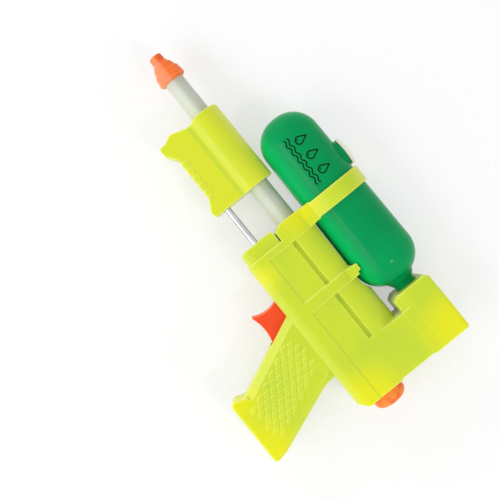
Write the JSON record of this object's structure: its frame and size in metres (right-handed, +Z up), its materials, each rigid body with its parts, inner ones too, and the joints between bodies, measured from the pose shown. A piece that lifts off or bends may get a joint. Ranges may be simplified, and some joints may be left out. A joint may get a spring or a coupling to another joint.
{
  "type": "mini water squirter",
  "caption": "Small hand-held water squirter with a sliding pump handle under the barrel, a round tank on top, a pull trigger and a slanted grip.",
  "frame": {"origin": "middle of the toy's length and height, on the ground that it lies on", "axes": "+X from the nozzle to the rear, +Y from the grip to the tank, +Z up, out of the left side"},
  "size_m": [0.1036, 0.062, 0.0176],
  "materials": {
    "shell": "satin moulded plastic, yellow-green",
    "tank": "glossy moulded plastic, green",
    "nozzle": "glossy moulded plastic, orange",
    "cap": "glossy moulded plastic, orange-red",
    "trigger": "satin moulded plastic, orange-red",
    "barrel": "smooth pale plastic tube",
    "plug": "soft off-white plastic",
    "inner": "plain natural plastic",
    "hose": "soft pale hose",
    "seal": "black rubber",
    "steel": "bright drawn steel"
  },
  "bodies": {
    "body": {"body_left": "shell", "body_right": "shell", "body_screws": "steel", "tank": "tank", "pickup_tube": "inner", "neck_seal": "seal", "neck_fitting": "inner", "suction_hose": "hose", "nozzle": "nozzle", "barrel_tube": "barrel", "pump_cylinder": "inner", "rod_gland": "inner", "gland_seal": "seal", "pump_head": "inner", "valve_body": "inner", "plunger_seal": "seal", "trigger_spring": "steel", "rear_cap": "cap"},
    "pump": {"handle_left": "shell", "handle_right": "shell", "handle_screws": "steel", "pump_rod": "steel", "piston": "inner", "piston_seal": "seal"},
    "trigger": {"trigger": "trigger", "valve_plunger": "inner"},
    "plug": {"filler_plug": "plug"},
    "inlet_ball": {"inlet_ball": "steel"},
    "outlet_ball": {"outlet_ball": "steel"}
  },
  "joints": [
    {"name": "pump_slide", "type": "slide", "parent": "body", "child": "pump", "axis": [1, 0, 0], "range_m": [-0.0098, 0.0104]},
    {"name": "trigger_slide", "type": "slide", "parent": "body", "child": "trigger", "axis": [1, 0, 0], "range_m": [0, 0.002], "stiffness_N_per_m": 300, "springref_m": -0.002, "deforming": ["trigger_spring"]},
    {"name": "plug_pull", "type": "slide", "parent": "body", "child": "plug", "axis": [0, 1, 0], "range_m": [0, 0.006]},
    {"name": "inlet_ball_lift", "type": "slide", "parent": "body", "child": "inlet_ball", "axis": [-1, 0, 0], "range_m": [0, 0.0006]},
    {"name": "outlet_ball_lift", "type": "slide", "parent": "body", "child": "outlet_ball", "axis": [0, 1, 0], "range_m": [0, 0.0006]}
  ]
}
